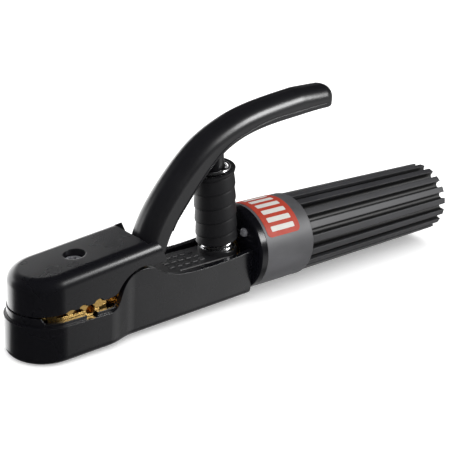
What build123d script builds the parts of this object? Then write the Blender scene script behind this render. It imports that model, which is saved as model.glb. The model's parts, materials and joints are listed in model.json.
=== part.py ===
from build123d import *

# Sprung-lever welding electrode holder, built as separate pieces. Sizes are in millimetres.
# Stations along X are measured from the front rim of the handle's collar, with the jaws towards
# -X and the cable towards +X. Z is up, and Y = 0 is the plane of symmetry. Each piece is moved
# by -SOCKET_MOUTH when it is written, so the origin is the mouth of the cable socket.

import math
import os

# Driving dimensions
WALL = 2.6                  # moulded casing walls
GAP = 0.2                   # free space between pieces of one body

COLLAR_R = 20.0             # handle
COLLAR_LENGTH = 29.2
HANDLE_LENGTH = 130.3
RIB_COUNT = 18
RIB_R_FRONT = 19.3
RIB_R_REAR = 18.1
GROOVE_BOTTOM_R = 14.6
GROOVE_WIDTH = 3.3
JACKET_BORE_R = 12.0
JACKET_BORE_START = 38.0

SOCKET_R = 10.4             # brass cable socket inside the handle
SOCKET_BORE_R = 6.5
SOCKET_BORE_START = 8.0
SOCKET_MOUTH = 36.0
SPIGOT_R = 5.0
CLAMP_SCREW_X = (15.0, 28.0)
CLAMP_SCREW_R = 4.0
FIXING_X = 22.0             # screw that locks the handle, in a pocket low on the collar's side
FIXING_TURN = Rot(-24, 0, 0)
POCKET_R = 5.2
POCKET_DEPTH = 4.2
LABEL_X = (1.5, 21.8)       # label round the top of the collar
LABEL_HALF_ANGLE = 62.0

FLANGE_THICKNESS = 4.5      # glossy insulating disc in front of the handle
FLANGE_SCREW_Y = 7.7
FLANGE_SCREW_Z = 10.3
FLANGE_SCREW_R = 1.25

PIVOT_X = -65.0             # hinge of the upper jaw
PIVOT_Z = -4.0
PIN_R = 3.0
KNUCKLE_R = 6.5
KNUCKLE_HALF = 5.0
WASHER_T = 0.5
TANG_HALF = 3.6             # the upper jaw's tang, held inside the lever
TANG_OUTLINE = [(-69, -1), (-60, -1), (-51.5, 20), (-39, 38.5), (-42, 42.5), (-54.5, 24), (-57.5, 14)]

NOSE_X = -104.1             # centre of the round nose, seen from above
NOSE_R = 16.8
NECK_FRONT = -83.0
NECK_REAR = -70.0
CASING_HALF = 14.3
CASING_REAR = -FLANGE_THICKNESS
CASING_SCREW_X = -38.0
CASING_SCREW_SEAT = 1.4     # plastic left under the screw's head
TIP_RIM_Z = -5.2
RIM_Z = 1.6
REAR_RIM_Z = 3.6
CHEEK_R = 13.2
FLOOR_Z_TIP = -22.3         # the underside rises slightly towards the rear
FLOOR_SLOPE = 0.0325
EDGE_R = 3.4

LIP_INSET = 1.1             # low inner wall round the nose, set in from the casing's face
LIP_END_X = -80.5
LIP_TOP_Z = -1.4            # its height round the nose
LIP_SIDE_X = (-113.5, -112.0)   # here it steps down, so that the jaws show from the side
LIP_SIDE_Z = (-3.7, -3.5)
LIP_NOTCH_HALF = 2.6        # notch for an electrode that lies across the jaws

JAW_HALF = 12.4             # brass jaws
JAW_REAR = -83.0
CONTACT_Z = -2.2
JAW_GAP = 0.3
BEAM_HALF = 8.0             # the conductor behind its jaw
EAR_HALF = 8.6
NECK_R = 9.5                # where it passes through the flange
NECK_TOP = -1.0
GRIP_X = -91.8              # round seat for the electrode, across both jaws
GRIP_R = 2.1
SIDE_NOTCH_X = (-105.0, -97.8)
SIDE_NOTCH_R = 3.0
SIDE_NOTCH_DEPTH = 1.7
STRIP_HALF = 14.3           # brass strip under the cover's edge, with three round lobes
STRIP_X = (-111.0, -86.5, -84.5)    # front, rear end below, rear end above
STRIP_GAP = 0.15
LOWER_STRIP_HALF = 13.9     # and the one below it, on the lower jaw
LOWER_STRIP_X = (-110.5, -87.5)
LOBES = ((-101.4, 0.4), (-95.6, 0.8), (-88.2, 1.2))     # station; rise over the cover's edge
LOBE_R = 2.2

COVER_HALF = 15.3           # black cover of the upper jaw
COVER_REAR = -58.8
COVER_TOP_REAR = -63.0      # the top plate ends here, between the longer side walls
COVER_TOP_NOSE_Z = 15.1
COVER_SLOPE = 0.1145
COVER_EDGE_Z = -1.1         # lower edge at the tip
COVER_EDGE_SLOPE = 0.049
COVER_HOLLOW_REAR = -48.0   # past the open rear end
COVER_ARC_R = 15.2
COVER_EDGE_R = 5.0
COVER_SCREW_X = -90.5
COVER_SCREW_R = 4.7         # its sunk hole
COVER_HEAD_R = 4.3
COVER_HEAD_Z = (10.4, 14.4)

LEVER_HALF = 7.3            # curved hand lever
LEVER_END = 49.9
LEVER_CORNER_R = 6.8        # its free end, seen from above
LEVER_CROWN_R = 6.3         # its rounded top
LEVER_FOOT_R = 1.2          # lower edge of the free end
BOSS_R = 5.0                # guide inside the spring's upper end
BOSS_LENGTH = 6.0
SPRING_BASE = (-13.8, 1.9)  # x and z of the spring's lower end
SPRING_TOP = (-19.0, 43.4)
SPRING_R = 7.0
WIRE_R = 0.9
SPRING_TURNS = 9
SLEEVE_R = 9.7
SLEEVE_WALL = 1.4
SLEEVE_BOTTOM = 5.6         # heights along the spring's axis
SLEEVE_TOP = 39.0
DECK_TOP = 1.1
DECK_T = 2.0
DECK_FRONT = (-53.0, -42.0)     # full-width part
TONGUE_HALF = 9.0
DECK_RIB_ROWS = (-4.6, 0.0, 4.6)
DECK_RIB_START = -43.5
DECK_RIB_PITCH = 4.2
DECK_RIB_SIZE = (2.6, 1.4, 0.7)

START = (Align.CENTER, Align.CENTER, Align.MIN)
CORNER = (Align.MIN, Align.MIN, Align.MIN)


def rod(radius, start, end, y=0.0, z=0.0):
    """A cylinder along X between two stations."""
    return Pos(start, y, z) * Rot(0, 90, 0) * Cylinder(radius, end - start, align=START)


def post(radius, bottom, top, x=0.0, y=0.0):
    """An upright cylinder."""
    return Pos(x, y, bottom) * Cylinder(radius, top - bottom, align=START)


def cross_rod(radius, half_length, x, z):
    """A cylinder along Y, centred on the plane of symmetry."""
    return Pos(x, 0, z) * Rot(90, 0, 0) * Cylinder(radius, 2 * half_length)


def block(x0, x1, half_width, z0, z1):
    """A box that is symmetric about Y = 0."""
    return Pos(x0, -half_width, z0) * Box(x1 - x0, 2 * half_width, z1 - z0, align=CORNER)


def slab(lines, half_width):
    """A side outline, drawn in (x, z), pulled out to both sides."""
    return extrude(Plane.XZ * make_face(lines), amount=half_width, both=True)


def polygon_slab(points, half_width):
    return slab(Polyline(*points, close=True), half_width)


def floor_z(x):
    """Height of the casing's underside at a station."""
    return FLOOR_Z_TIP + FLOOR_SLOPE * (x - NOSE_X + NOSE_R)


def on_circle(x, z, radius, degrees):
    angle = math.radians(degrees)
    return (x + radius * math.cos(angle), z + radius * math.sin(angle))


def plan_outline(inset, rear):
    """The casing seen from above: round nose, neck, and a straight body."""
    nose = NOSE_R - inset
    body = CASING_HALF - inset
    half = Line((rear, 0), (rear, body))
    half += Line((rear, body), (NECK_REAR, body))
    half += Spline((NECK_REAR, body), (NECK_FRONT, nose), tangents=[(-1, 0), (-1, 0)])
    half += Line((NECK_FRONT, nose), (NOSE_X, nose))
    half += ThreePointArc((NOSE_X, nose), (NOSE_X - nose * math.sqrt(0.5), nose * math.sqrt(0.5)),
                          (NOSE_X - nose, 0))
    half += Line((NOSE_X - nose, 0), (rear, 0))
    face = make_face(half)
    return face + mirror(face, Plane.XZ)


def casing_side():
    """The casing's side outline: underside, cheek dome at the hinge, and the low tip rim."""
    tip = NOSE_X - NOSE_R - 1
    rear_cheek = on_circle(PIVOT_X, PIVOT_Z, CHEEK_R, 50)
    top_cheek = on_circle(PIVOT_X, PIVOT_Z, CHEEK_R, 100)
    front_cheek = on_circle(PIVOT_X, PIVOT_Z, CHEEK_R, 152)
    front_slope = math.radians(152 + 90)
    rear_slope = math.radians(50 - 90)
    lines = Line((tip, floor_z(tip)), (CASING_REAR, floor_z(CASING_REAR)))
    lines += Line((CASING_REAR, floor_z(CASING_REAR)), (CASING_REAR, REAR_RIM_Z))
    lines += Spline((CASING_REAR, REAR_RIM_Z), (-38.0, RIM_Z), rear_cheek,
                    tangents=[(-1, -0.12), (-math.cos(rear_slope), -math.sin(rear_slope))])
    lines += ThreePointArc(rear_cheek, top_cheek, front_cheek)
    lines += Spline(front_cheek, (NECK_FRONT - 1, TIP_RIM_Z),
                    tangents=[(math.cos(front_slope), math.sin(front_slope)), (-1, 0)])
    lines += Line((NECK_FRONT - 1, TIP_RIM_Z), (tip, TIP_RIM_Z))
    lines += Line((tip, TIP_RIM_Z), (tip, floor_z(tip)))
    return slab(lines, 30)


def lower_casing():
    """Moulded tray that insulates the lower jaw and the hinge, with a lip round the nose."""
    body = extrude(plan_outline(0, CASING_REAR), amount=60, both=True) & casing_side()
    underside = body.edges().filter_by(lambda edge: edge.center().Z < floor_z(edge.center().X) + 0.1)
    underside = underside.filter_by(lambda edge: edge.center().X < CASING_REAR - 0.1)
    body = fillet(underside, EDGE_R)
    hollow = extrude(plan_outline(WALL, CASING_REAR + 1), amount=60, both=True)
    tip = NOSE_X - NOSE_R - 1
    rise = WALL + 0.2
    hollow &= polygon_slab([(tip, floor_z(tip) + rise), (1, floor_z(1) + rise), (1, 30), (tip, 30)], 30)
    body -= hollow
    lip = extrude(plan_outline(LIP_INSET, LIP_END_X) - plan_outline(WALL + 0.1, 0), amount=60, both=True)
    lip &= polygon_slab([(tip, TIP_RIM_Z - 3), (LIP_END_X, TIP_RIM_Z - 3), (LIP_END_X, LIP_SIDE_Z[1]),
                         (LIP_SIDE_X[1], LIP_SIDE_Z[0]), (LIP_SIDE_X[0], LIP_TOP_Z),
                         (tip, LIP_TOP_Z)], 30)
    lip -= block(GRIP_X - LIP_NOTCH_HALF, GRIP_X + LIP_NOTCH_HALF, 30, TIP_RIM_Z, 5)
    body += lip
    body -= post(2.2, -30, 0, CASING_SCREW_X)
    body -= post(4.2, -30, floor_z(CASING_SCREW_X) + CASING_SCREW_SEAT, CASING_SCREW_X)
    return body


def casing_screw():
    """Slotted screw, sunk in the casing's underside, that holds the casing to the conductor."""
    base = floor_z(CASING_SCREW_X) + CASING_SCREW_SEAT
    screw = post(3.6, base - 1.2, base, CASING_SCREW_X)
    screw += post(1.9, base - 0.1, base + 7.0, CASING_SCREW_X)
    slot = block(CASING_SCREW_X - 4, CASING_SCREW_X + 4, 0.45, base - 2, base - 0.6)
    return screw - slot


def deck_insulator():
    """Insulating deck over the conductor: a tongue whose rear end is rounded about the spring."""
    inner = CASING_HALF - WALL - GAP
    x_spring = SPRING_BASE[0]
    front, shoulder = DECK_FRONT
    plan = Pos((front + shoulder) / 2, 0) * Rectangle(shoulder - front, 2 * inner)
    tongue = Pos((shoulder - 1 + x_spring) / 2, 0) * Rectangle(x_spring - shoulder + 1, 2 * TONGUE_HALF)
    plan += tongue + Pos(x_spring, 0) * Circle(TONGUE_HALF)
    deck = Pos(0, 0, DECK_TOP - DECK_T) * extrude(plan, amount=DECK_T)
    top_edges = deck.edges().filter_by(lambda edge: edge.center().Z > DECK_TOP - 0.01)
    deck = chamfer(top_edges, 0.4)
    for row in DECK_RIB_ROWS:
        for column in range(5):
            deck += Pos(DECK_RIB_START + DECK_RIB_PITCH * column, row, DECK_TOP) * Box(*DECK_RIB_SIZE)
    return deck


def jaw_plan(half_width, rear):
    """Round-nosed plan shared by both jaws."""
    plan = Pos(NOSE_X, 0) * Circle(half_width)
    return plan + Pos((NOSE_X + rear) / 2, 0) * Rectangle(rear - NOSE_X, 2 * half_width)


def beam_bottom(x):
    return floor_z(x) + WALL + 0.4


def conductor_body():
    """Brass casting: lower jaw, beam, hinge ears, spring block, neck and spigot for the socket."""
    top = CONTACT_Z - JAW_GAP / 2
    jaw = Pos(0, 0, -11.0) * extrude(jaw_plan(JAW_HALF, JAW_REAR), amount=top + 11.0)
    strip = block(*LOWER_STRIP_X, LOWER_STRIP_HALF, -8.0, top)
    jaw += strip & extrude(jaw_plan(LOWER_STRIP_HALF, JAW_REAR), amount=20, both=True)
    jaw -= cross_rod(GRIP_R, 20, GRIP_X, CONTACT_Z)
    beam = polygon_slab([(-100, beam_bottom(-100)), (-9, beam_bottom(-9)), (-9, -6), (-100, -6)],
                        BEAM_HALF)
    ear_r = KNUCKLE_R + 1.0
    ears = cross_rod(ear_r, EAR_HALF, PIVOT_X, PIVOT_Z)
    ears += block(PIVOT_X - ear_r, PIVOT_X + ear_r, EAR_HALF, -12, PIVOT_Z)
    seat = block(-26, -9, BEAM_HALF, -8, DECK_TOP - DECK_T - GAP)
    neck = rod(NECK_R, -9, 0) & block(-9, 0, NECK_R + 1, -12, NECK_TOP)
    body = jaw + beam + ears + seat + neck + rod(SPIGOT_R - 0.05, -4, SOCKET_BORE_START)
    slot_half = KNUCKLE_HALF + WASHER_T + 0.1
    body -= cross_rod(KNUCKLE_R + 0.6, slot_half, PIVOT_X, PIVOT_Z)
    body -= block(JAW_REAR, PIVOT_X, slot_half, PIVOT_Z - 3.2, 10)
    body -= block(PIVOT_X, PIVOT_X + KNUCKLE_R + 4, slot_half, PIVOT_Z - 4.5, 10)
    body -= cross_rod(PIN_R, 20, PIVOT_X, PIVOT_Z)
    body -= post(2.0, -30, -8, CASING_SCREW_X)
    return body


def cable_socket():
    """Brass socket on the conductor's spigot; the bared cable end is clamped in its bore."""
    socket = rod(SOCKET_R, 0, SOCKET_MOUTH) - rod(SPIGOT_R, -1, SOCKET_BORE_START + 1)
    socket -= rod(SOCKET_BORE_R, SOCKET_BORE_START, SOCKET_MOUTH + 1)
    for x in CLAMP_SCREW_X:
        socket -= post(CLAMP_SCREW_R + 0.1, 0, 20, x)
    return socket - FIXING_TURN * post(2.1, -SOCKET_R - 1, -SOCKET_R + 2.4, FIXING_X)


def cable_clamp_screws():
    """Two hexagon-socket grub screws that press on the bared cable."""
    screws = []
    for x in CLAMP_SCREW_X:
        screw = post(CLAMP_SCREW_R, SOCKET_BORE_R + 0.1, SOCKET_R - 0.9, x)
        hexagon = Pos(x, 0, SOCKET_R - 2.7) * extrude(RegularPolygon(2.3, 6), amount=4)
        screws.append(screw - hexagon)
    return Compound(screws)


def handle():
    """Ribbed insulating handle with a smooth collar and open flutes that run out at the rear."""
    ribs = Pos(COLLAR_LENGTH - 1, 0, 0) * Rot(0, 90, 0) * Cone(
        RIB_R_FRONT, RIB_R_REAR, HANDLE_LENGTH - COLLAR_LENGTH + 1, align=START)
    groove_length = HANDLE_LENGTH - COLLAR_LENGTH + 2
    groove = Pos(COLLAR_LENGTH, -GROOVE_WIDTH / 2, GROOVE_BOTTOM_R + GROOVE_WIDTH / 2) * Box(
        groove_length, GROOVE_WIDTH, 12, align=CORNER)
    groove += rod(GROOVE_WIDTH / 2, COLLAR_LENGTH, COLLAR_LENGTH + groove_length,
                  0, GROOVE_BOTTOM_R + GROOVE_WIDTH / 2)
    for i in range(RIB_COUNT):
        ribs -= Rot(360 / RIB_COUNT * (i + 0.5), 0, 0) * groove
    collar = rod(COLLAR_R, 0, COLLAR_LENGTH)
    rear_rim = collar.edges().filter_by(lambda edge: edge.center().X > COLLAR_LENGTH - 0.1)
    collar = fillet(rear_rim, 0.6)
    body = ribs + collar
    body -= rod(SOCKET_R + GAP, -1, JACKET_BORE_START)
    body -= rod(JACKET_BORE_R, JACKET_BORE_START - 0.5, HANDLE_LENGTH + 1)
    for side in (-1, 1):
        body -= rod(FLANGE_SCREW_R + 0.05, -1, 9, side * FLANGE_SCREW_Y, FLANGE_SCREW_Z)
    pocket = post(POCKET_R, -30, -COLLAR_R + POCKET_DEPTH, FIXING_X)
    pocket += post(2.2, -30, -5, FIXING_X)
    return body - FIXING_TURN * pocket


def handle_fixing_screw():
    """Slotted screw, sunk in a pocket under the collar, that locks the handle to the socket."""
    head_top = -COLLAR_R + POCKET_DEPTH
    screw = post(3.8, head_top - 2.2, head_top, FIXING_X)
    screw += post(2.0, head_top - 0.1, -SOCKET_R + 2.2, FIXING_X)
    screw -= block(FIXING_X - 5, FIXING_X + 5, 0.5, head_top - 3, head_top - 1.1)
    return FIXING_TURN * screw


def label():
    """Thin label wrapped over the top of the collar."""
    x0, x1 = LABEL_X
    sticker = rod(COLLAR_R + 0.25, x0, x1) - rod(COLLAR_R, x0 - 1, x1 + 1)
    spread = 2 * COLLAR_R
    reach = spread * math.tan(math.radians(90 - LABEL_HALF_ANGLE))
    wedge = Polyline((0, 0), (-spread, reach), (-spread, spread), (spread, spread), (spread, reach),
                     close=True)
    sector = extrude(Plane.YZ * make_face(wedge), amount=60)
    return sticker & sector


def flange_ring():
    """Glossy insulating disc between the casing and the handle, cut out for the conductor's neck."""
    disc = rod(COLLAR_R, -FLANGE_THICKNESS, 0)
    front = disc.edges().filter_by(lambda edge: edge.center().X < -FLANGE_THICKNESS + 0.1)
    disc = fillet(front, 1.2)
    disc -= rod(NECK_R + GAP, -10, 1) & block(-10, 1, 12, -12, NECK_TOP + GAP)
    disc -= rod(SPIGOT_R, -10, 1)
    for side in (-1, 1):
        disc -= rod(FLANGE_SCREW_R + 0.05, -10, 1, side * FLANGE_SCREW_Y, FLANGE_SCREW_Z)
    return disc


def flange_screws():
    """Two round-headed screws through the flange into the handle."""
    screws = []
    for side in (-1, 1):
        y = side * FLANGE_SCREW_Y
        head = Pos(-FLANGE_THICKNESS, y, FLANGE_SCREW_Z) * Sphere(2.1)
        head &= rod(3, -FLANGE_THICKNESS - 1.6, -FLANGE_THICKNESS, y, FLANGE_SCREW_Z)
        screw = head + rod(FLANGE_SCREW_R, -FLANGE_THICKNESS - 0.5, 8, y, FLANGE_SCREW_Z)
        screws.append(screw)
    return Compound(screws)


def pivot_pin():
    return cross_rod(PIN_R - 0.02, 10.4, PIVOT_X, PIVOT_Z) - pin_grooves()


def pin_grooves():
    """Ring grooves near the pin's ends, for the retaining clips."""
    groove = cross_rod(PIN_R + 1, 10.4, PIVOT_X, PIVOT_Z) - cross_rod(PIN_R - 0.5, 11, PIVOT_X, PIVOT_Z)
    keep = block(PIVOT_X - 9, PIVOT_X + 9, 9.7, -12, 8) - block(PIVOT_X - 9, PIVOT_X + 9, 8.8, -12, 8)
    return groove & keep


def pin_clips():
    """Retaining clips, open at the bottom, in the pin's grooves."""
    rings = cross_rod(PIN_R + 1.6, 9.6, PIVOT_X, PIVOT_Z) - cross_rod(PIN_R - 0.45, 11, PIVOT_X, PIVOT_Z)
    rings -= block(PIVOT_X - 9, PIVOT_X + 9, 8.9, -20, 10)
    rings -= block(PIVOT_X - 2, PIVOT_X + 2, 12, -20, PIVOT_Z)
    return rings


def pivot_washers():
    """Thin washers between the moving knuckle and the ears."""
    outer = KNUCKLE_HALF + WASHER_T + 0.05
    washers = cross_rod(KNUCKLE_R - 0.3, outer, PIVOT_X, PIVOT_Z)
    washers -= cross_rod(PIN_R + 0.1, 20, PIVOT_X, PIVOT_Z)
    return washers - block(PIVOT_X - 20, PIVOT_X + 20, KNUCKLE_HALF + 0.05, -30, 30)


def hinge_bush():
    """Bronze bush in the moving knuckle; it turns on the pin."""
    return cross_rod(PIN_R + 1.2, KNUCKLE_HALF, PIVOT_X, PIVOT_Z) - cross_rod(
        PIN_R + 0.05, 20, PIVOT_X, PIVOT_Z)


def upper_jaw_arm():
    """Brass upper jaw with three electrode notches, its knuckle, and the tang inside the lever."""
    bottom = CONTACT_Z + JAW_GAP / 2
    jaw = Pos(0, 0, bottom) * extrude(jaw_plan(JAW_HALF, JAW_REAR), amount=3.6)
    arm = polygon_slab([(-97, bottom + 2), (JAW_REAR + 1, bottom), (PIVOT_X - 3, -4.5),
                        (PIVOT_X + 3, 2), (PIVOT_X - 3, 8.5), (-97, 5.5)], KNUCKLE_HALF)
    arm += cross_rod(KNUCKLE_R, KNUCKLE_HALF, PIVOT_X, PIVOT_Z)
    arm += tang()
    arm += post(4.6, 3, 7.5, COVER_SCREW_X)
    body = jaw + arm + jaw_strip()
    body -= cross_rod(GRIP_R, 20, GRIP_X, CONTACT_Z)
    for x in SIDE_NOTCH_X:
        body -= cross_rod(SIDE_NOTCH_R, 20, x, bottom - SIDE_NOTCH_R + SIDE_NOTCH_DEPTH)
    body -= cross_rod(PIN_R + 1.2, 20, PIVOT_X, PIVOT_Z)
    body -= post(1.6, -1.0, 12, COVER_SCREW_X)
    return body


def tang():
    """The arm's rear end, from the knuckle up into the lever's lower half."""
    return polygon_slab(TANG_OUTLINE, TANG_HALF)


def cover_edge_z(x):
    """Height of the cover's lower edge, in front of the hinge."""
    tip = NOSE_X - COVER_HALF - 2
    return COVER_EDGE_Z + COVER_EDGE_SLOPE * (x - tip)


def lobes(radius, half_width):
    """Round lobes along the jaw's side, or the arcs in the cover that they stand in."""
    made = Part()
    for x, rise in LOBES:
        made += cross_rod(radius, half_width, x, cover_edge_z(x) + rise - LOBE_R)
    return made


def jaw_strip():
    """Side strips of the upper jaw, just below the cover's edge, with lobes that rise into its arcs."""
    front, rear_low, rear_top = STRIP_X
    bottom = CONTACT_Z + JAW_GAP / 2
    outline = [(front, bottom), (rear_low, bottom), (rear_top, cover_edge_z(rear_top) - STRIP_GAP),
               (front, cover_edge_z(front) - STRIP_GAP)]
    above = block(front, rear_low, 30, bottom, 6)
    strip = polygon_slab(outline, STRIP_HALF) + (lobes(LOBE_R, STRIP_HALF) & above)
    return strip & extrude(jaw_plan(STRIP_HALF, JAW_REAR), amount=20, both=True)


def cover_top_z(x):
    return COVER_TOP_NOSE_Z + COVER_SLOPE * (x - NOSE_X)


def cover_side():
    """Side outline of the upper jaw cover: lower edge, arc over the hinge, and sloping top."""
    tip = NOSE_X - COVER_HALF - 2
    low_arc = on_circle(PIVOT_X, PIVOT_Z, COVER_ARC_R, 152)
    mid_arc = on_circle(PIVOT_X, PIVOT_Z, COVER_ARC_R, 125)
    high_arc = on_circle(PIVOT_X, PIVOT_Z, COVER_ARC_R, 95)
    rear_low = (COVER_REAR + 4.6, high_arc[1] - 0.6)
    rear_mid = (COVER_REAR + 3.0, 14.0)
    rear_top = (COVER_REAR, cover_top_z(COVER_REAR))
    lines = Line((tip, cover_edge_z(tip)), (-86, cover_edge_z(-86)))
    lines += Spline((-86, cover_edge_z(-86)), low_arc, tangents=[(1, 0.06), (0.47, 0.88)])
    lines += ThreePointArc(low_arc, mid_arc, high_arc)
    lines += Line(high_arc, rear_low)
    lines += Spline(rear_low, rear_mid, rear_top)
    lines += Line(rear_top, (tip, cover_top_z(tip)))
    lines += Line((tip, cover_top_z(tip)), (tip, cover_edge_z(tip)))
    return slab(lines, 30)


def cover_hollow():
    """The room under the cover's top, between its walls."""
    tip = NOSE_X - COVER_HALF - 2
    top = -WALL - 0.6
    side = polygon_slab([(tip, -10), (COVER_HOLLOW_REAR, -10),
                         (COVER_HOLLOW_REAR, cover_top_z(COVER_HOLLOW_REAR) + top),
                         (tip, cover_top_z(tip) + top)], 30)
    return extrude(cover_plan(WALL), amount=60, both=True) & side


def cover_plan(inset):
    """The cover seen from above: round nose and straight sides."""
    half = COVER_HALF - inset
    length = COVER_HOLLOW_REAR + 2 - NOSE_X
    return Pos(NOSE_X, 0) * Circle(half) + Pos(NOSE_X + length / 2, 0) * Rectangle(length, 2 * half)


def upper_jaw_cover():
    """Black moulded cover over the upper jaw, open below and behind, with a sunk screw hole."""
    body = extrude(cover_plan(0), amount=60, both=True) & cover_side()
    top = body.edges().filter_by(lambda edge: edge.center().Z > cover_top_z(edge.center().X) - 0.8)
    top = top.filter_by(lambda edge: edge.center().X < COVER_REAR - 0.5)
    body = fillet(top, COVER_EDGE_R)
    head_seat = COVER_HEAD_Z[0]
    boss = post(COVER_SCREW_R + 1.6, head_seat - 2.5, 14, COVER_SCREW_X)
    body = body - cover_hollow() + boss
    body -= block(COVER_TOP_REAR, -40, COVER_HALF - WALL, 0, 40)
    body -= post(COVER_SCREW_R, head_seat, 30, COVER_SCREW_X)
    body -= post(2.1, 0, 30, COVER_SCREW_X)
    return body - lobes(LOBE_R + 0.3, 30)


def cover_screw():
    """Cross-recessed pan-head screw, sunk in the cover, into the upper jaw."""
    seat, top = COVER_HEAD_Z
    head = post(COVER_HEAD_R, seat, top, COVER_SCREW_X)
    head = fillet(head.edges().sort_by(Axis.Z)[-1], 1.0)
    screw = head + post(1.5, 0.5, seat + 0.2, COVER_SCREW_X)
    for turn in (45, 135):
        screw -= Pos(COVER_SCREW_X, 0, top - 1.5) * Rot(0, 0, turn) * Box(5.0, 1.1, 3, align=START)
    return screw


def lever_side():
    """The lever's side outline: a wedge at the jaw cover that sweeps back over the handle."""
    end_top = (LEVER_END, 72.9)
    end_low = (LEVER_END, 62.7)
    top = Spline((-60.6, 13.0), (-57.2, 24.2), (-48.6, 37.4), (-39.1, 48.2), (-28.5, 57.0),
                 (-17.4, 62.7), (-1.2, 67.9), (23.8, 71.9), end_top, tangents=[(0.1, 1), (1, 0.02)])
    under = Spline(end_low, (43.9, 62.6), (24.1, 60.9), (1.6, 57.9), (-16.9, 51.0),
                   (-28.4, 40.8), (-41.6, 24.6), (-48.6, 10.6), tangents=[(-1, -0.02), (-0.25, -1)])
    foot = Line((-48.6, 10.6), (-57.5, 10.6)) + Line((-57.5, 10.6), (-60.6, 13.0))
    return top + Line(end_top, end_low) + under + foot


def lever_grip():
    """Moulded hand lever with a guide boss for the spring on its underside."""
    length = 2 * (LEVER_END + 10)
    plan = RectangleRounded(length, 2 * LEVER_HALF, LEVER_CORNER_R)
    body = slab(lever_side(), 20) & extrude(Pos(LEVER_END - length / 2, 0) * plan, amount=100)
    crown = body.edges().filter_by(lambda edge: edge.bounding_box().max.Z > 71.0)
    crown = crown.filter_by(lambda edge: edge.bounding_box().min.Z > 71.0 or edge.length > 100)
    body = fillet(crown, LEVER_CROWN_R)
    low = body.edges().filter_by(lambda edge: edge.bounding_box().max.X > LEVER_END - 8)
    low = low.filter_by(lambda edge: 62 < edge.bounding_box().max.Z < 64)
    body = fillet(low, LEVER_FOOT_R)
    axis = spring_plane(1.0)
    boss = Pos(0, 0, -BOSS_LENGTH) * Cylinder(BOSS_R, BOSS_LENGTH + 11, align=START)
    boss = fillet(boss.edges().sort_by(Axis.Z)[0], 1.0)
    body += axis * boss
    return body - polygon_slab(TANG_OUTLINE, TANG_HALF)


def spring_plane(fraction):
    """Plane across the spring's leaning axis, at a fraction of the way up it."""
    x0, z0 = SPRING_BASE
    x1, z1 = SPRING_TOP
    origin = (x0 + fraction * (x1 - x0), 0, z0 + fraction * (z1 - z0))
    return Plane(origin=origin, x_dir=(z1 - z0, 0, x0 - x1), z_dir=(x1 - x0, 0, z1 - z0))


def spring_length():
    return math.dist(SPRING_BASE, SPRING_TOP)


def return_spring():
    """Compression spring, leaning forward a little, between the deck and the lever."""
    height = spring_length() - 2 * WIRE_R
    path = Helix(pitch=height / SPRING_TURNS, height=height, radius=SPRING_R)
    section = Plane(origin=path @ 0, z_dir=path % 0) * Circle(WIRE_R)
    coil = sweep(section, path=path, is_frenet=True)
    return spring_plane(0.0) * Pos(0, 0, WIRE_R) * coil


def spring_sleeve():
    """Rubber sleeve over the spring, open at both ends."""
    tube = Cylinder(SLEEVE_R, SLEEVE_TOP - SLEEVE_BOTTOM, align=START)
    tube -= Cylinder(SLEEVE_R - SLEEVE_WALL, 200)
    return spring_plane(0.0) * Pos(0, 0, SLEEVE_BOTTOM) * tube


def spring_seat_washer():
    """Dished insulating washer that keeps the spring's foot in place on the deck."""
    x0 = SPRING_BASE[0]
    cup = post(8.9, DECK_TOP, DECK_TOP + 2.2, x0) - post(8.2, DECK_TOP + 0.7, 10, x0)
    return cup - post(3.0, 0, 10, x0)


PIECES = {
    "lower_casing": lower_casing,
    "casing_screw": casing_screw,
    "deck_insulator": deck_insulator,
    "conductor_body": conductor_body,
    "cable_socket": cable_socket,
    "cable_clamp_screws": cable_clamp_screws,
    "handle": handle,
    "handle_fixing_screw": handle_fixing_screw,
    "label": label,
    "flange_ring": flange_ring,
    "flange_screws": flange_screws,
    "pivot_pin": pivot_pin,
    "pin_clips": pin_clips,
    "pivot_washers": pivot_washers,
    "hinge_bush": hinge_bush,
    "upper_jaw_arm": upper_jaw_arm,
    "upper_jaw_cover": upper_jaw_cover,
    "cover_screw": cover_screw,
    "lever_grip": lever_grip,
    "return_spring": return_spring,
    "spring_sleeve": spring_sleeve,
    "spring_seat_washer": spring_seat_washer,
}

os.makedirs("parts", exist_ok=True)
for name, make in PIECES.items():
    export_step(Pos(-SOCKET_MOUTH, 0, 0) * make(), f"parts/{name}.step")
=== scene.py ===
"""Looks of a sprung-lever welding electrode holder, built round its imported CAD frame.

Places are given as stations in millimetres: x from the front rim of the handle's collar, with the
jaws towards -x; y from the plane of symmetry; z up from the handle's axis. at() turns a station
into the frame's metres.
"""

import json
import math

import bmesh
import bpy
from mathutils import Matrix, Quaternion, Vector


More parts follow.
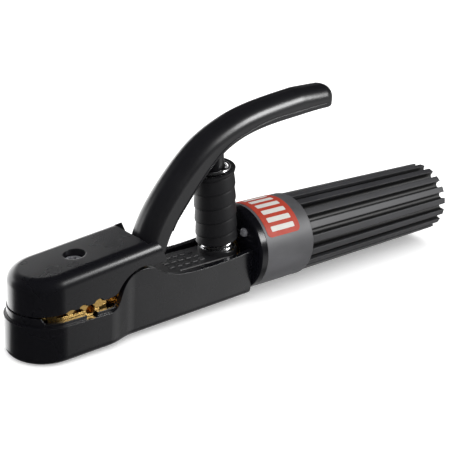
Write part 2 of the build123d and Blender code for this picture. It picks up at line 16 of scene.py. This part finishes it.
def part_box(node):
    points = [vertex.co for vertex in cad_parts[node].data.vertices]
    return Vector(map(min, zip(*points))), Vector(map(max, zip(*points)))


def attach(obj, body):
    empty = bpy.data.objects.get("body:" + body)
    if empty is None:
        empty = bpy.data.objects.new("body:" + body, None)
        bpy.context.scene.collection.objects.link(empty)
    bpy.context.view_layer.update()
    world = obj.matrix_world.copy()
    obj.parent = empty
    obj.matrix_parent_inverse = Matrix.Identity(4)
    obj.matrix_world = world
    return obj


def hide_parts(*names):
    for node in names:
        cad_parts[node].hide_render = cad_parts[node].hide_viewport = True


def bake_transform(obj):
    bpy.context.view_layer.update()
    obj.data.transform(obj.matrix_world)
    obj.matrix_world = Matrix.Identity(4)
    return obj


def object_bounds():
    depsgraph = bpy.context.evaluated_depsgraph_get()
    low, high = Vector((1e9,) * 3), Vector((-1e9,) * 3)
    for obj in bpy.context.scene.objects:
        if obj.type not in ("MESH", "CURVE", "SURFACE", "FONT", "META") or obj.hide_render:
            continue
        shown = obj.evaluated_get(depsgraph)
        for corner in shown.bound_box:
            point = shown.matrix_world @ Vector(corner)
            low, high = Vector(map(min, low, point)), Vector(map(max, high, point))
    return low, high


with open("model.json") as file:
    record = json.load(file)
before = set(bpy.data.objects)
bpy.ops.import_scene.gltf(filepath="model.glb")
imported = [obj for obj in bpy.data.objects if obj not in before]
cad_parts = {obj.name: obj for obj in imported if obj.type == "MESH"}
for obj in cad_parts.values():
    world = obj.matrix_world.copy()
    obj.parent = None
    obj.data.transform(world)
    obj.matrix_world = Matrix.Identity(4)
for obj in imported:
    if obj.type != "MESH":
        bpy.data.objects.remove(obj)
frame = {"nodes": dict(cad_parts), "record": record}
cad_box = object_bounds()

MM = 0.001
COLLAR_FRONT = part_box("handle")[0].x
COLLAR_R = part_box("handle")[1].z / MM
SIDEWAYS = Vector((0, 1, 0))

# Camera
CAMERA_STATION = (-292.4, -319.8, 178.9)
LOOK_DIRECTION = (0.6175, 0.6972, -0.3643)
CAMERA_ROLL = math.radians(3.48)
FOCAL_LENGTH = 79.65
SENSOR_WIDTH = 36.0
NEAR_CLIP = 0.01

# Floor: a large pale square just under the object. It glows a little, so that it looks white all
# over, and it stays out of reflections.
FLOOR_Z = cad_box[0][2] - 0.0001
FLOOR_HALF = 6.0
FLOOR_ALBEDO = 0.93
FLOOR_GLOW = 0.25
FLOOR_ROUGHNESS = 0.9

# Room. A glow is a unit direction, the alignments with it at which the glow begins and is full, its
# brightness, and whether it fades upwards. GLOW_FADE gives the rise of the direction at which such
# a glow begins to fade, and at which it is gone.
ROOM_LIGHT = 0.02
GLOWS = (
    ((0.954, 0.3, 0.0), 0.0, 0.75, 0.4, True),
    ((0.7, -0.61, -0.37), 0.92, 1.0, 1.2, False),
)
GLOW_FADE = (-0.05, 0.4)

# Sky: one very wide sun
SKY_POWER = 4.6
SKY_SPREAD = math.radians(140)
SKY_AIM = (0.1, 0.25, -1.0)

# Softboxes: name, station, size in metres, radiance, and the direction that each faces. The key
# panel faces the object's middle, and the back card faces straight across from behind.
MIDDLE = (-20, 0, 10)
KEY_STATION = (480, -650, 430)
BACK_STATION = (-95, 300, -30)
SOFTBOXES = (
    ("key_panel", KEY_STATION, (0.3, 0.34), 26, Vector(MIDDLE) - Vector(KEY_STATION)),
    ("back_card", BACK_STATION, (0.46, 0.35), 3.4, Vector((0, -1, 0))),
)

# Unevenness of the materials: the part of a noise's range that is used, how far roughness varies
# either way, and the radius in metres of a moulded edge
NOISE_MIDDLE = (0.3, 0.7)
PLASTIC_ROUGHNESS_SPREAD = (-0.02, 0.03)
METAL_ROUGHNESS_SPREAD = (-0.08, 0.1)
FILM_ROUGHNESS = (0.45, 0.6)
SOFT_EDGE = 0.0004

# Plastic. Blotches lighten its colour, and wear lightens it more along the edges; each is a gain
# and a lift. Wear begins where a rounded normal's alignment with the true one falls to the first
# of WEAR_ALIGNMENTS and is full at the second; it reaches WEAR_REACH times the edge's radius.
BLOTCH = (1.4, 0.0005)
WORN = (2.0, 0.012)
WEAR_ALIGNMENTS = (0.995, 0.85)
WEAR_REACH = 1.6

# Handle's colours by share of the collar's radius, from the flutes' floors out to the collar
# Painted shade: near-black colour at the flutes' floors that stands in for the shading between the
# ribs
FLUTE_PAINTED_SHADE = (0.002, 0.002, 0.002)
RIB_GREY = (0.024, 0.024, 0.027)
COLLAR_GREY = (0.066, 0.066, 0.071)
HANDLE_SHADES = ((0.85, FLUTE_PAINTED_SHADE), (0.9, RIB_GREY), (0.975, RIB_GREY), (0.995, COLLAR_GREY))
# Its lengthwise streaks: how dark and how pale they make it, and the noise's stretch
STREAK_SHADES = (0.75, 1.3)
STREAK_STRETCH = (0.4, 1, 1)

# Line along the lever's sides where the halves of its mould met
PARTING_PATH = ((-45.8, 19.5), (-41.6, 26.6), (-28.4, 43.0), (-16.9, 53.2), (-6.0, 57.7),
                (1.6, 60.1), (12.0, 62.1), (24.1, 63.2), (34.0, 64.2), (43.0, 64.9))
PARTING_Y = 7.3
PARTING_R = 0.28
PARTING_STEPS = 12
PARTING_SIDES = 8

# Spring: the two ends of its leaning axis, and the coil round it. CLOSED_ENDS is how much the turns
# close up towards the ends, where 0 leaves them even and 1 presses them flat.
SPRING_BASE = (-13.8, 0.0, 1.9)
SPRING_TOP = (-19.0, 0.0, 43.4)
SPRING_R = 7.0
SPRING_TURNS = 9.5
CLOSED_ENDS = 0.75
TURN_STEPS = 40
WIRE_R = 0.9
WIRE_SIDES = 12

# Sleeve, a strip wound round the spring: its wall, its rims' heights along the spring's axis, and
# the mesh's points around it and up it
SLEEVE_R = 9.0
SLEEVE_WALL = 1.3
SLEEVE_RANGE = (5.6, 38.4)
SLEEVE_AROUND = 120
SLEEVE_LEVELS = 170
SLEEVE_LEVELS_PER_INNER_ONE = 5
# The strip's overlapping folds: spacing, step, roundness and start, and the creases between them
FOLD_PITCH = 6.8
FOLD_DEPTH = 0.7
FOLD_ROUNDNESS = 0.8
FOLD_START = 2.2
CREASE_DEPTH = 0.35
CREASE_SHARPNESS = 22
# The sleeve's rims: the angle at which the strip begins and ends, how far each rim climbs in one
# turn, how far its lip flares, and how fast the lip fades away from it
SEAM_ANGLE = math.radians(48.0)
BOTTOM_CLIMB = 0.5 * FOLD_PITCH
TOP_CLIMB = 0.9 * FOLD_PITCH
TOP_LIP = 0.35
BOTTOM_LIP = 0.2
LIP_FADE = 1.2

# Label: a film over the top of the collar, a row of bars on it, and the mesh that both are made of
LABEL_X = (1.5, 21.8)
LABEL_MIDDLE = math.pi / 2
LABEL_HALF_ANGLE = math.radians(62.0)
LABEL_CORNER = 2.5
LABEL_GAP = 0.01
LABEL_THICKNESS = 0.16
BAR_X = (4.6, 18.7)
BAR_WIDTH = 2.5
BAR_CORNER = 0.5
BAR_THICKNESS = 0.04
BAR_COUNT = 9
BAR_MARGIN = math.radians(4)
PATCH_ROWS = 60
PATCH_COLUMNS = 10
RIM_SPLIT_ANGLE = math.radians(50)


def at(x, y, z):
    """A station in millimetres as a point of the frame."""
    return Vector((COLLAR_FRONT + x * MM, y * MM, z * MM))


# ---------------------------------------------------------------- camera, floor and light


def make_camera():
    """The camera at its station, rolled about its line of sight."""
    data = bpy.data.cameras.new("camera")
    data.lens = FOCAL_LENGTH
    data.sensor_width = SENSOR_WIDTH
    data.clip_start = NEAR_CLIP
    camera = bpy.data.objects.new("camera", data)
    camera.location = at(*CAMERA_STATION)
    level = Vector(LOOK_DIRECTION).to_track_quat("-Z", "Y")
    camera.rotation_mode = "QUATERNION"
    camera.rotation_quaternion = level @ Quaternion((0, 0, 1), CAMERA_ROLL)
    bpy.context.scene.collection.objects.link(camera)
    bpy.context.scene.camera = camera


def make_floor():
    """The pale square that the object stands on."""
    mesh = bpy.data.meshes.new("floor")
    signs = ((-1, -1), (1, -1), (1, 1), (-1, 1))
    corners = [(x * FLOOR_HALF, y * FLOOR_HALF, 0) for x, y in signs]
    mesh.from_pydata(corners, [], [(0, 1, 2, 3)])
    floor = bpy.data.objects.new("floor", mesh)
    floor.location.z = FLOOR_Z
    floor.visible_glossy = False
    floor.visible_shadow = False
    bpy.context.scene.collection.objects.link(floor)
    floor.data.materials.append(floor_material())


def floor_material():
    """Matt white with a faint glow."""
    material = new_material("floor_pale")
    shader = principled(material)
    shader.inputs["Base Color"].default_value = (FLOOR_ALBEDO, FLOOR_ALBEDO, FLOOR_ALBEDO, 1)
    shader.inputs["Roughness"].default_value = FLOOR_ROUGHNESS
    shader.inputs["Specular IOR Level"].default_value = 0.0
    shader.inputs["Emission Color"].default_value = (1, 1, 1, 1)
    shader.inputs["Emission Strength"].default_value = FLOOR_GLOW
    return material


def make_room():
    """A dim room with a few soft glows."""
    world = bpy.data.worlds.new("room")
    world.use_nodes = True
    tree = world.node_tree
    bpy.context.scene.world = world
    direction = tree.nodes.new("ShaderNodeTexCoord").outputs["Generated"]

    def facing(axis, start, end, low, high):
        """Smooth step from low to high as the direction's share along an axis goes start to end."""
        dot = tree.nodes.new("ShaderNodeVectorMath")
        dot.operation = "DOT_PRODUCT"
        dot.inputs[1].default_value = axis
        tree.links.new(direction, dot.inputs[0])
        step = tree.nodes.new("ShaderNodeMapRange")
        step.interpolation_type = "SMOOTHSTEP"
        for key, value in zip(("From Min", "From Max", "To Min", "To Max"), (start, end, low, high)):
            step.inputs[key].default_value = value
        tree.links.new(dot.outputs["Value"], step.inputs["Value"])
        return step.outputs["Result"]

    def combine(operation, socket, other):
        """A math node on a socket and on another socket or number."""
        made = tree.nodes.new("ShaderNodeMath")
        made.operation = operation
        tree.links.new(socket, made.inputs[0])
        if isinstance(other, float):
            made.inputs[1].default_value = other
        else:
            tree.links.new(other, made.inputs[1])
        return made.outputs["Value"]

    low_down = facing((0, 0, 1), *GLOW_FADE, 1.0, 0.0)
    glow = ROOM_LIGHT
    for axis, start, end, brightness, fades in GLOWS:
        patch = facing(axis, start, end, 0.0, brightness)
        if fades:
            patch = combine("MULTIPLY", patch, low_down)
        glow = combine("MAXIMUM", patch, glow)
    tree.links.new(glow, tree.nodes["Background"].inputs["Strength"])
    tree.nodes["Background"].inputs["Color"].default_value = (1, 1, 1, 1)


def add_light(name, data, aim):
    """A light that faces along aim and that the camera doesn't see."""
    light = bpy.data.objects.new(name, data)
    light.rotation_mode = "QUATERNION"
    light.rotation_quaternion = aim.to_track_quat("-Z", "Y")
    light.visible_camera = False
    bpy.context.scene.collection.objects.link(light)
    return light


def make_sky():
    """Wide daylight from above, which lights surfaces but shows in no reflection."""
    data = bpy.data.lights.new("sky_fill", "SUN")
    data.energy = SKY_POWER
    data.angle = SKY_SPREAD
    add_light("sky_fill", data, Vector(SKY_AIM)).visible_glossy = False


def make_softbox(name, station, size, radiance, aim):
    """A rectangular light that shows only as a reflection."""
    width, height = size
    data = bpy.data.lights.new(name, "AREA")
    data.shape = "RECTANGLE"
    data.size = width
    data.size_y = height
    data.energy = radiance * math.pi * width * height
    light = add_light(name, data, aim)
    light.location = at(*station)
    light.visible_diffuse = False


def make_light():
    """The room, the sky and the softboxes, shown without a film look."""
    make_room()
    make_sky()
    for softbox in SOFTBOXES:
        make_softbox(*softbox)
    view = bpy.context.scene.view_settings
    view.view_transform = "Standard"
    view.look = "None"


# ---------------------------------------------------------------- material helpers


def new_material(name):
    material = bpy.data.materials.new(name)
    material.use_nodes = True
    return material


def principled(material):
    return material.node_tree.nodes["Principled BSDF"]


def node(material, kind, **values):
    """Adds a shader node; keyword names are its inputs, with spaces written as underscores."""
    made = material.node_tree.nodes.new(kind)
    for key, value in values.items():
        made.inputs[key.replace("_", " ")].default_value = value
    return made


def link(material, source, target):
    material.node_tree.links.new(source, target)


def object_place(material):
    """The surface point in the object's own metres."""
    return node(material, "ShaderNodeTexCoord").outputs["Object"]


def noise(material, scale, detail, stretch=(1, 1, 1)):
    """Noise in the object's own metres; scale is in cycles per metre."""
    mapping = node(material, "ShaderNodeMapping", Scale=stretch)
    texture = node(material, "ShaderNodeTexNoise", Scale=scale, Detail=detail)
    link(material, object_place(material), mapping.inputs["Vector"])
    link(material, mapping.outputs["Vector"], texture.inputs["Vector"])
    return texture.outputs["Fac"]


def map_range(material, value, start, end, low, high):
    """Maps a value that goes from start to end onto low to high."""
    step = node(material, "ShaderNodeMapRange",
                From_Min=start, From_Max=end, To_Min=low, To_Max=high)
    link(material, value, step.inputs["Value"])
    return step.outputs["Result"]


def spread(material, factor, low, high):
    """Maps a noise factor's middle range onto low to high."""
    return map_range(material, factor, *NOISE_MIDDLE, low, high)


def uneven_gloss(material, scale, roughness, variation):
    """Gives the shader a roughness that varies a little below and above its value."""
    below, above = variation
    gloss = spread(material, noise(material, scale, detail=3), roughness + below, roughness + above)
    link(material, gloss, principled(material).inputs["Roughness"])


def vector_math(material, operation, first, second=None):
    """A vector math node on one or two sockets."""
    made = node(material, "ShaderNodeVectorMath")
    made.operation = operation
    link(material, first, made.inputs[0])
    if second:
        link(material, second, made.inputs[1])
    return made


def blend_colour(material, factor, first, second):
    """Blends two colours, each a tuple or a socket."""
    mix = node(material, "ShaderNodeMix")
    mix.data_type = "RGBA"
    first_socket, second_socket, result_socket = mix.inputs[6], mix.inputs[7], mix.outputs[2]
    for socket, colour in ((first_socket, first), (second_socket, second)):
        if isinstance(colour, tuple):
            socket.default_value = (*colour, 1)
        else:
            link(material, colour, socket)
    link(material, factor, mix.inputs[0])
    return result_socket


def lightened(colour, change):
    """A colour changed by a gain and a lift."""
    gain, lift = change
    return tuple(channel * gain + lift for channel in colour)


def rounded_normal(material, radius, samples):
    """The surface's normal as if its edges were rounded."""
    bevel = node(material, "ShaderNodeBevel", Radius=radius)
    bevel.samples = samples
    return bevel.outputs["Normal"]


def edge_mask(material, radius, amount):
    """Up to the given amount along sharp edges, where a rounded normal leaves the true one."""
    rounded = rounded_normal(material, radius, samples=4)
    true_normal = node(material, "ShaderNodeNewGeometry").outputs["Normal"]
    alignment = vector_math(material, "DOT_PRODUCT", rounded, true_normal).outputs["Value"]
    return map_range(material, alignment, *WEAR_ALIGNMENTS, 0.0, amount)


def relief(material, height, strength, distance, edge_radius):
    """Fine surface relief over softly rounded edges."""
    bump = node(material, "ShaderNodeBump", Strength=strength, Distance=distance)
    link(material, height, bump.inputs["Height"])
    if edge_radius:
        rounded = rounded_normal(material, edge_radius, samples=6)
        link(material, rounded, bump.inputs["Normal"])
    link(material, bump.outputs["Normal"], principled(material).inputs["Normal"])


# ---------------------------------------------------------------- materials


def plastic(name, roughness, grain=2600, grain_depth=0.00002, edge_radius=SOFT_EDGE, specular=0.5):
    """Plastic that still lacks its colour: uneven gloss, fine grain and softened edges."""
    material = new_material(name)
    uneven_gloss(material, scale=60, roughness=roughness, variation=PLASTIC_ROUGHNESS_SPREAD)
    principled(material).inputs["Specular IOR Level"].default_value = specular
    relief(material, noise(material, grain, detail=2), strength=0.1, distance=grain_depth,
           edge_radius=edge_radius)
    return material


def moulded(name, colour, roughness, edge_radius=SOFT_EDGE, wear=0.35, **surface):
    """Plastic of one colour, blotchy and paler along its edges."""
    material = plastic(name, roughness, edge_radius=edge_radius, **surface)
    blotchy = blend_colour(material, noise(material, scale=90, detail=4), colour,
                           lightened(colour, BLOTCH))
    worn = blend_colour(material, edge_mask(material, edge_radius * WEAR_REACH, wear), blotchy,
                        lightened(colour, WORN))
    link(material, worn, principled(material).inputs["Base Color"])
    return material


def handle_plastic():
    """The handle's plastic: pale collar, darker ribs, and painted shade down in the flutes."""
    material = plastic("handle_grey", roughness=0.5, edge_radius=0.0006)
    across = vector_math(material, "MULTIPLY", object_place(material))
    across.inputs[1].default_value = (0, 1, 1)
    radius = vector_math(material, "LENGTH", across.outputs["Vector"])
    # The ramp by radius paints shade into the flutes' floors, darkest at the bottom of each flute
    shades = node(material, "ShaderNodeValToRGB")
    share = map_range(material, radius.outputs["Value"], 0.0, COLLAR_R * MM, 0.0, 1.0)
    link(material, share, shades.inputs["Fac"])
    set_ramp(shades.color_ramp, HANDLE_SHADES)
    streaks = noise(material, scale=70, detail=4, stretch=STREAK_STRETCH)
    tinted = vector_math(material, "SCALE", shades.outputs["Color"])
    link(material, spread(material, streaks, *STREAK_SHADES), tinted.inputs["Scale"])
    link(material, tinted.outputs["Vector"], principled(material).inputs["Base Color"])
    return material


def set_ramp(ramp, stops):
    """Gives a new colour ramp these stops, each a position and a colour."""
    first, *middle, last = stops
    for element, (position, colour) in zip(ramp.elements, (first, last)):
        element.position = position
        element.color = (*colour, 1)
    for position, colour in middle:
        ramp.elements.new(position).color = (*colour, 1)


def metal(name, colour, dark, roughness, edge_radius=0.0002, metallic=1.0):
    """Bare metal with fine tool marks and tarnish."""
    material = new_material(name)
    shader = principled(material)
    tarnished = blend_colour(material, noise(material, scale=220, detail=5), colour, dark)
    link(material, tarnished, shader.inputs["Base Color"])
    shader.inputs["Metallic"].default_value = metallic
    uneven_gloss(material, scale=900, roughness=roughness, variation=METAL_ROUGHNESS_SPREAD)
    relief(material, noise(material, scale=900, detail=2), strength=0.3, distance=0.00002,
           edge_radius=edge_radius)
    return material


def printed(name, colour, pale):
    """Satin printed film."""
    material = new_material(name)
    shader = principled(material)
    ink = blend_colour(material, noise(material, scale=300, detail=4), colour, pale)
    link(material, ink, shader.inputs["Base Color"])
    gloss = spread(material, noise(material, scale=120, detail=3), *FILM_ROUGHNESS)
    link(material, gloss, shader.inputs["Roughness"])
    shader.inputs["Specular IOR Level"].default_value = 0.25
    relief(material, noise(material, scale=1500, detail=2), strength=0.2, distance=0.00001,
           edge_radius=0)
    return material


MATERIALS = {
    "casing_black": moulded("casing_black", (0.0025, 0.0025, 0.0035), roughness=0.27),
    "deck_black": moulded("deck_black", (0.008, 0.008, 0.009), roughness=0.4, edge_radius=0.0003),
    "handle_grey": handle_plastic(),
    "lever_black": moulded("lever_black", (0.004, 0.004, 0.005), roughness=0.3, wear=0.2),
    "gloss_black": moulded("gloss_black", (0.002, 0.002, 0.003), roughness=0.2, wear=0.05,
                           specular=0.25),
    "sleeve_rubber": moulded("sleeve_rubber", (0.006, 0.006, 0.007), roughness=0.55, grain=1800,
                             grain_depth=0.00004, edge_radius=0, wear=0, specular=0.25),
    "brass": metal("brass", (0.82, 0.56, 0.2), (0.55, 0.33, 0.1), roughness=0.28),
    "bronze": metal("bronze", (0.62, 0.4, 0.2), (0.4, 0.24, 0.12), roughness=0.35),
    "steel_pin": metal("steel_pin", (0.6, 0.6, 0.62), (0.4, 0.4, 0.42), roughness=0.3),
    "steel_screw": metal("steel_screw", (0.3, 0.3, 0.32), (0.2, 0.2, 0.22), roughness=0.3,
                         metallic=0.6),
    "spring_steel": metal("spring_steel", (0.85, 0.85, 0.86), (0.6, 0.6, 0.62), roughness=0.18,
                          edge_radius=0),
    "label_red": printed("label_red", (0.33, 0.022, 0.009), (0.4, 0.04, 0.016)),
    "label_white": printed("label_white", (0.56, 0.55, 0.52), (0.5, 0.49, 0.46)),
}


def dress_frame():
    """Gives each CAD node the material of its slot."""
    for subpart in frame["record"]["subparts"]:
        carried = frame["nodes"][subpart["node"]]
        carried.data.materials.clear()
        carried.data.materials.append(MATERIALS[subpart["material_slot"]])


# ---------------------------------------------------------------- mesh helpers


def add_piece(name, points, faces, slot, material=None):
    """A smooth mesh piece from points in frame metres; its material is the slot's if none is given."""
    mesh = bpy.data.meshes.new(name)
    mesh.from_pydata(points, [], faces)
    cleaner = bmesh.new()
    cleaner.from_mesh(mesh)
    bmesh.ops.recalc_face_normals(cleaner, faces=cleaner.faces)
    cleaner.to_mesh(mesh)
    cleaner.free()
    mesh.polygons.foreach_set("use_smooth", [True] * len(mesh.polygons))
    piece = bpy.data.objects.new(name, mesh)
    bpy.context.scene.collection.objects.link(piece)
    mesh.materials.append(MATERIALS[material or slot])
    return piece


def ring_faces(rings, around, closed_ends=True):
    """Quads between rings of points, and a cap at each end if asked."""
    faces = []
    for ring in range(rings - 1):
        here = ring * around
        beyond = here + around
        for j in range(around):
            k = (j + 1) % around
            faces.append((here + j, here + k, beyond + k, beyond + j))
    if closed_ends:
        faces.append(tuple(range(around)))
        faces.append(tuple(range((rings - 1) * around, rings * around)))
    return faces


def round_wire(centre, first_axis, second_axis, radius, sides):
    """One ring of points round a wire's centre, in the plane of two axes; the radius is in mm."""
    ring = []
    for j in range(sides):
        angle = 2 * math.pi * j / sides
        out = first_axis * math.cos(angle) + second_axis * math.sin(angle)
        ring.append(centre + out * radius * MM)
    return ring


def spring_frame():
    """Origin and axes of the leaning spring: across (towards the handle), sideways, and up."""
    base = at(*SPRING_BASE)
    up = (at(*SPRING_TOP) - base).normalized()
    return base, SIDEWAYS.cross(up), SIDEWAYS, up


# ---------------------------------------------------------------- spring and sleeve


def make_spring():
    """Coil with closed end turns."""
    base, across, side, up = spring_frame()
    length = (at(*SPRING_TOP) - base).length / MM
    steps = int(SPRING_TURNS * TURN_STEPS)
    points = []
    for i in range(steps + 1):
        share = i / steps
        rise = share - CLOSED_ENDS * math.sin(2 * math.pi * share) / (2 * math.pi)
        height = WIRE_R + (length - 2 * WIRE_R) * rise
        turn = 2 * math.pi * SPRING_TURNS * share
        out = across * math.cos(turn) + side * math.sin(turn)
        centre = base + (out * SPRING_R + up * height) * MM
        points += round_wire(centre, out, up, WIRE_R, WIRE_SIDES)
    spring = add_piece("coil_spring", points, ring_faces(steps + 1, WIRE_SIDES), "spring_steel")
    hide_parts("return_spring")
    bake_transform(spring)


def fold_radius(height, angle):
    """Outer radius of the sleeve, a strip wound in overlapping turns that climb round it."""
    phase = (height / FOLD_PITCH - angle / (2 * math.pi) + FOLD_START) % 1.0
    lap = (1.0 - phase) ** FOLD_ROUNDNESS
    crease = math.exp(-phase * CREASE_SHARPNESS) + math.exp(-(1 - phase) * CREASE_SHARPNESS)
    return SLEEVE_R + FOLD_DEPTH * lap - CREASE_DEPTH * crease


def lip(above_bottom, below_top):
    """How far the sleeve flares near its rims."""
    return (TOP_LIP * math.exp(-below_top * LIP_FADE)
            + BOTTOM_LIP * math.exp(-above_bottom * LIP_FADE))


def sleeve_rings():
    """The sleeve's rings of points, as share of its height and side, up its outside and back down."""
    outside = [(i / SLEEVE_LEVELS, True) for i in range(SLEEVE_LEVELS + 1)]
    inner_levels = range(SLEEVE_LEVELS, -1, -SLEEVE_LEVELS_PER_INNER_ONE)
    inside = [(i / SLEEVE_LEVELS, False) for i in inner_levels]
    return outside + inside


def make_sleeve():
    """The wound sleeve; both rims climb with the strip, and the step between its ends faces away."""
    base, across, side, up = spring_frame()
    low, high = SLEEVE_RANGE
    rings = sleeve_rings()
    points = []
    for share, outside in rings:
        for j in range(SLEEVE_AROUND):
            turn = (j + 0.5) / SLEEVE_AROUND - 0.5
            angle = SEAM_ANGLE + math.pi + 2 * math.pi * turn
            bottom = low + BOTTOM_CLIMB * turn
            top = high + TOP_CLIMB * turn
            height = bottom + (top - bottom) * share
            radius = SLEEVE_R - SLEEVE_WALL
            if outside:
                radius = fold_radius(height, angle) + lip(height - bottom, top - height)
            out = across * math.cos(angle) + side * math.sin(angle)
            points.append(base + (out * radius + up * height) * MM)
    faces = ring_faces(len(rings), SLEEVE_AROUND, closed_ends=False)
    last = (len(rings) - 1) * SLEEVE_AROUND
    for j in range(SLEEVE_AROUND):
        k = (j + 1) % SLEEVE_AROUND
        faces.append((last + j, last + k, k, j))
    sleeve = add_piece("wound_sleeve", points, faces, "sleeve_rubber")
    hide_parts("spring_sleeve")
    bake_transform(sleeve)


# ---------------------------------------------------------------- lever's parting line


def smooth_path(knots, steps):
    """Points along a Catmull-Rom curve through the knots."""
    ends = [2 * knots[0] - knots[1], *knots, 2 * knots[-1] - knots[-2]]
    path = []
    for a, b, c, d in zip(ends, ends[1:], ends[2:], ends[3:]):
        for i in range(steps):
            t = i / steps
            path.append((2 * b + (c - a) * t + (2 * a - 5 * b + 4 * c - d) * t**2
                         + (3 * b - a - 3 * c + d) * t**3) / 2)
    return path + [knots[-1]]


def make_parting_line():
    """A fine raised bead on each side of the lever, along its lower edge."""
    for name, y in (("parting_line_left", -PARTING_Y), ("parting_line_right", PARTING_Y)):
        path = smooth_path([at(x, y, z) for x, z in PARTING_PATH], PARTING_STEPS)
        points = []
        for i, centre in enumerate(path):
            along = (path[min(i + 1, len(path) - 1)] - path[max(i - 1, 0)]).normalized()
            points += round_wire(centre, SIDEWAYS, along.cross(SIDEWAYS), PARTING_R, PARTING_SIDES)
        bead = add_piece(name, points, ring_faces(len(path), PARTING_SIDES), "lever_black")
        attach(bead, "lever")


# ---------------------------------------------------------------- label


def corner_inset(distance, corner):
    """How far a rounded corner pulls a patch's side in, at a distance from the patch's end."""
    if distance >= corner:
        return 0.0
    return corner - math.sqrt(max(0.0, corner**2 - (corner - distance) ** 2))


def patch_points(x_range, angle_range, corner, radius, thickness):
    """Inner and then outer layer of a rounded patch, in rows along the collar's axis."""
    x0, x1 = x_range
    a0, a1 = angle_range
    arc = (a1 - a0) * radius
    shares = [0.5 - 0.5 * math.cos(math.pi * i / PATCH_ROWS) for i in range(PATCH_ROWS + 1)]
    points = []
    for level in (radius, radius + thickness):
        for share in shares:
            inset = corner_inset(min(share, 1 - share) * arc, corner)
            angle = a0 + (a1 - a0) * share
            for j in range(PATCH_COLUMNS + 1):
                x = x0 + inset + (x1 - x0 - 2 * inset) * j / PATCH_COLUMNS
                points.append(at(x, level * math.cos(angle), level * math.sin(angle)))
    return points


def patch_faces():
    """Both layers of a patch and the wall round their rim."""
    width = PATCH_COLUMNS + 1
    top = (PATCH_ROWS + 1) * width
    faces = []
    for i in range(PATCH_ROWS):
        for j in range(PATCH_COLUMNS):
            a, b = i * width + j, (i + 1) * width + j
            faces.append((a, a + 1, b + 1, b))
            faces.append((top + a, top + a + 1, top + b + 1, top + b))
    rim = list(range(width))
    rim += [i * width + PATCH_COLUMNS for i in range(1, PATCH_ROWS + 1)]
    rim += [PATCH_ROWS * width + j for j in range(PATCH_COLUMNS - 1, -1, -1)]
    rim += [i * width for i in range(PATCH_ROWS - 1, 0, -1)]
    for a, b in zip(rim, rim[1:] + rim[:1]):
        faces.append((a, b, top + b, top + a))
    return faces


def wrapped_patch(name, x_range, angle_range, corner, radius, thickness, slot, material=None):
    """A thin plate with rounded corners, wrapped round the collar."""
    points = patch_points(x_range, angle_range, corner, radius, thickness)
    piece = add_piece(name, points, patch_faces(), slot, material)
    edges = piece.modifiers.new("crisp_rim", "EDGE_SPLIT")
    edges.split_angle = RIM_SPLIT_ANGLE
    return piece


def make_label():
    """Red label over the top of the collar with a row of plain white bars."""
    film_r = COLLAR_R + LABEL_GAP
    film_angles = (LABEL_MIDDLE - LABEL_HALF_ANGLE, LABEL_MIDDLE + LABEL_HALF_ANGLE)
    film = wrapped_patch("label_film", LABEL_X, film_angles, LABEL_CORNER, film_r,
                         LABEL_THICKNESS, "label_red")
    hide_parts("label")
    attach(film, "holder")
    bar_half = BAR_WIDTH / 2 / COLLAR_R
    for i in range(BAR_COUNT):
        share = (i + 0.5) / BAR_COUNT
        angle = LABEL_MIDDLE + (2 * share - 1) * (LABEL_HALF_ANGLE - BAR_MARGIN)
        bar = wrapped_patch(f"label_bar_{i + 1}", BAR_X, (angle - bar_half, angle + bar_half),
                            BAR_CORNER, film_r + LABEL_THICKNESS, BAR_THICKNESS,
                            "label_red", "label_white")
        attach(bar, "holder")


make_camera()
make_floor()
make_light()
dress_frame()
make_spring()
make_sleeve()
make_parting_line()
make_label()
